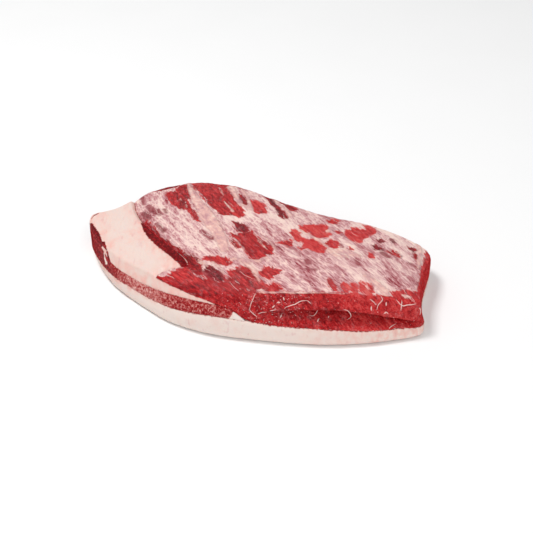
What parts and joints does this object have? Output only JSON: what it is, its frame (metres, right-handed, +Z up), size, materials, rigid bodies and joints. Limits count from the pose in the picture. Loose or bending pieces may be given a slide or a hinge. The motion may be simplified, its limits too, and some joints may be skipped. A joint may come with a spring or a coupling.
{
  "type": "raw beef brisket",
  "caption": "Whole raw beef brisket lying on its fat cap, lean side up, with a seam of lean and a wedge of hard fat at the left and a deep fold in its front face.",
  "frame": {"origin": "middle of the box around the part, at the height of its flat base", "axes": "+X along the length to the squared end, +Y from the folded front face to the back edge, +Z up through the thickness"},
  "size_m": [0.4744, 0.3132, 0.0765],
  "materials": {
    "cap_fat": "soft pinkish white fat with a slight wet sheen",
    "seam_lean": "wet cut lean flecked with fat",
    "hard_fat": "smooth creamy hard fat with fine creases",
    "muscle_lean": "wet red lean under a torn pinkish white membrane"
  },
  "bodies": {
    "root": {"fat_cap": "cap_fat", "lean_seam": "seam_lean", "hard_fat": "hard_fat", "main_muscle": "muscle_lean"}
  },
  "joints": []
}
